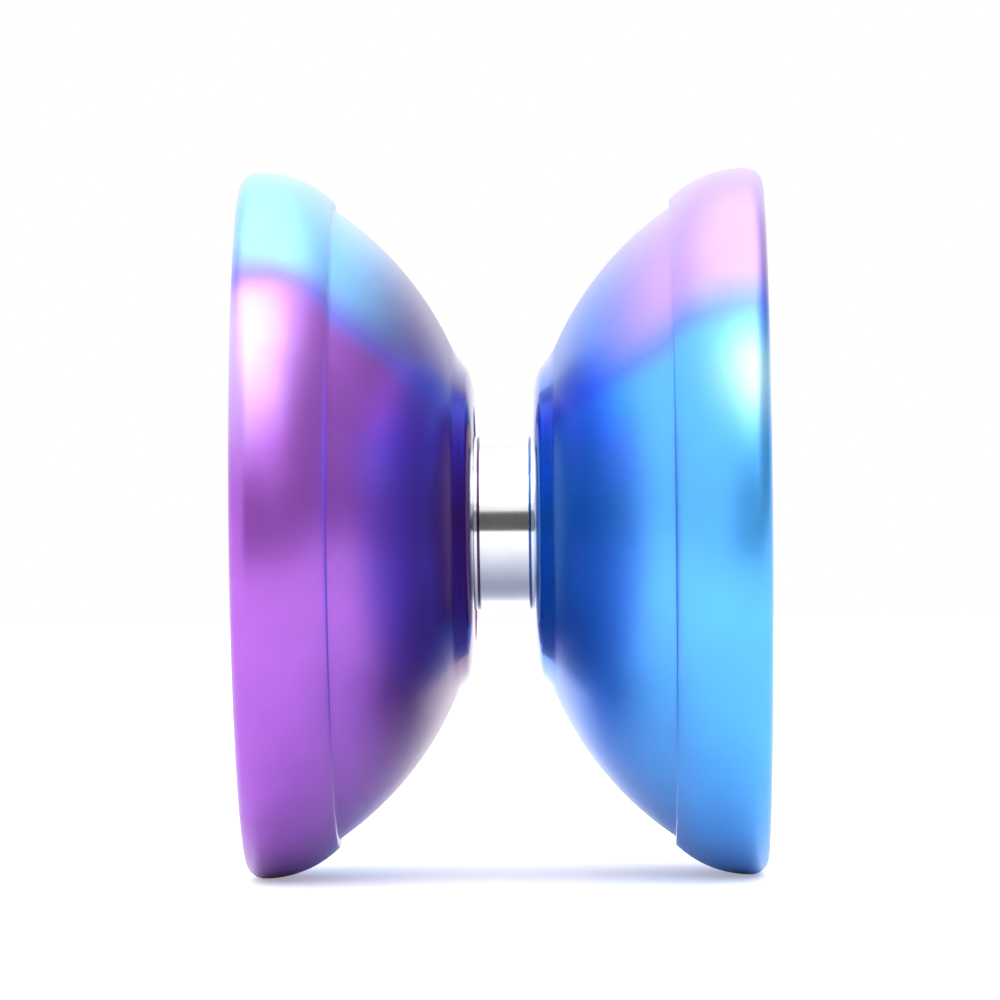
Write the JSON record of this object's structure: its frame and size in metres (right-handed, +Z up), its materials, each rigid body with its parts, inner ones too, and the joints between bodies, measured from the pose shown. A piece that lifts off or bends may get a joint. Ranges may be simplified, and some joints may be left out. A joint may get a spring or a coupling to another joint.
{
  "type": "yo-yo",
  "caption": "Wide flared yo-yo of anodised aluminium with crowned rims, open cupped faces and a ball bearing between halves that unscrew.",
  "frame": {"origin": "middle of the axle, on the plane halfway between the two halves", "axes": "+X along the axle towards the half that unscrews, +Z up, +Y away from the front view"},
  "size_m": [0.0412, 0.0558, 0.0558],
  "materials": {
    "purple_aluminium": "bead-blasted and anodised purple with a pale blue splash, satin",
    "azure_aluminium": "bead-blasted and anodised azure with lilac and pale cyan splashes, satin",
    "bearing_steel": "ground and polished bearing steel",
    "shield_steel": "stamped stainless steel",
    "cage_steel": "pressed stainless steel",
    "axle_steel": "black oxide",
    "silicone": "white silicone, matt"
  },
  "bodies": {
    "left_half": {"half_left": "purple_aluminium", "axle": "axle_steel", "bearing_inner_ring": "bearing_steel", "response_pad_left": "silicone"},
    "outer_ring": {"bearing_outer_ring": "bearing_steel", "bearing_shield_left": "shield_steel", "bearing_shield_right": "shield_steel", "snap_ring_left": "shield_steel", "snap_ring_right": "shield_steel"},
    "cage": {"ball_cage": "cage_steel"},
    "ball_01": {"ball_01": "bearing_steel"},
    "ball_02": {"ball_02": "bearing_steel"},
    "ball_03": {"ball_03": "bearing_steel"},
    "ball_04": {"ball_04": "bearing_steel"},
    "ball_05": {"ball_05": "bearing_steel"},
    "ball_06": {"ball_06": "bearing_steel"},
    "ball_07": {"ball_07": "bearing_steel"},
    "ball_08": {"ball_08": "bearing_steel"},
    "ball_09": {"ball_09": "bearing_steel"},
    "ball_10": {"ball_10": "bearing_steel"},
    "right_pad": {"response_pad_right": "silicone"},
    "right_half": {"half_right": "azure_aluminium"}
  },
  "joints": [
    {"name": "bearing_spin", "type": "hinge", "parent": "left_half", "child": "outer_ring", "pos_m": [0, 0, 0], "axis": [1, 0, 0], "continuous": true},
    {"name": "cage_spin", "type": "hinge", "parent": "left_half", "child": "cage", "pos_m": [0, 0, 0], "axis": [1, 0, 0], "continuous": true},
    {"name": "ball_01_spin", "type": "hinge", "parent": "cage", "child": "ball_01", "pos_m": [0, 0, 0.00476], "axis": [1, 0, 0], "continuous": true},
    {"name": "ball_02_spin", "type": "hinge", "parent": "cage", "child": "ball_02", "pos_m": [0, -0.0028, 0.00385], "axis": [1, 0, 0], "continuous": true},
    {"name": "ball_03_spin", "type": "hinge", "parent": "cage", "child": "ball_03", "pos_m": [0, -0.00453, 0.00147], "axis": [1, 0, 0], "continuous": true},
    {"name": "ball_04_spin", "type": "hinge", "parent": "cage", "child": "ball_04", "pos_m": [0, -0.00453, -0.00147], "axis": [1, 0, 0], "continuous": true},
    {"name": "ball_05_spin", "type": "hinge", "parent": "cage", "child": "ball_05", "pos_m": [0, -0.0028, -0.00385], "axis": [1, 0, 0], "continuous": true},
    {"name": "ball_06_spin", "type": "hinge", "parent": "cage", "child": "ball_06", "pos_m": [0, 0, -0.00476], "axis": [1, 0, 0], "continuous": true},
    {"name": "ball_07_spin", "type": "hinge", "parent": "cage", "child": "ball_07", "pos_m": [0, 0.0028, -0.00385], "axis": [1, 0, 0], "continuous": true},
    {"name": "ball_08_spin", "type": "hinge", "parent": "cage", "child": "ball_08", "pos_m": [0, 0.00453, -0.00147], "axis": [1, 0, 0], "continuous": true},
    {"name": "ball_09_spin", "type": "hinge", "parent": "cage", "child": "ball_09", "pos_m": [0, 0.00453, 0.00147], "axis": [1, 0, 0], "continuous": true},
    {"name": "ball_10_spin", "type": "hinge", "parent": "cage", "child": "ball_10", "pos_m": [0, 0.0028, 0.00385], "axis": [1, 0, 0], "continuous": true},
    {"name": "right_half_travel", "type": "slide", "parent": "left_half", "child": "right_pad", "axis": [1, 0, 0], "range_m": [0, 0.0064]},
    {"name": "right_half_unscrew", "type": "hinge", "parent": "right_pad", "child": "right_half", "pos_m": [0, 0, 0], "axis": [1, 0, 0], "range_deg": [0, 3240]}
  ],
  "couplings": [
    {"joint": "cage_spin", "follows": "bearing_spin", "ratio": 0.58333},
    {"joint": "ball_01_spin", "follows": "bearing_spin", "ratio": 2.9167},
    {"joint": "ball_02_spin", "follows": "bearing_spin", "ratio": 2.9167},
    {"joint": "ball_03_spin", "follows": "bearing_spin", "ratio": 2.9167},
    {"joint": "ball_04_spin", "follows": "bearing_spin", "ratio": 2.9167},
    {"joint": "ball_05_spin", "follows": "bearing_spin", "ratio": 2.9167},
    {"joint": "ball_06_spin", "follows": "bearing_spin", "ratio": 2.9167},
    {"joint": "ball_07_spin", "follows": "bearing_spin", "ratio": 2.9167},
    {"joint": "ball_08_spin", "follows": "bearing_spin", "ratio": 2.9167},
    {"joint": "ball_09_spin", "follows": "bearing_spin", "ratio": 2.9167},
    {"joint": "ball_10_spin", "follows": "bearing_spin", "ratio": 2.9167},
    {"joint": "right_half_travel", "follows": "right_half_unscrew", "m_per_rad": 0.00011141}
  ]
}
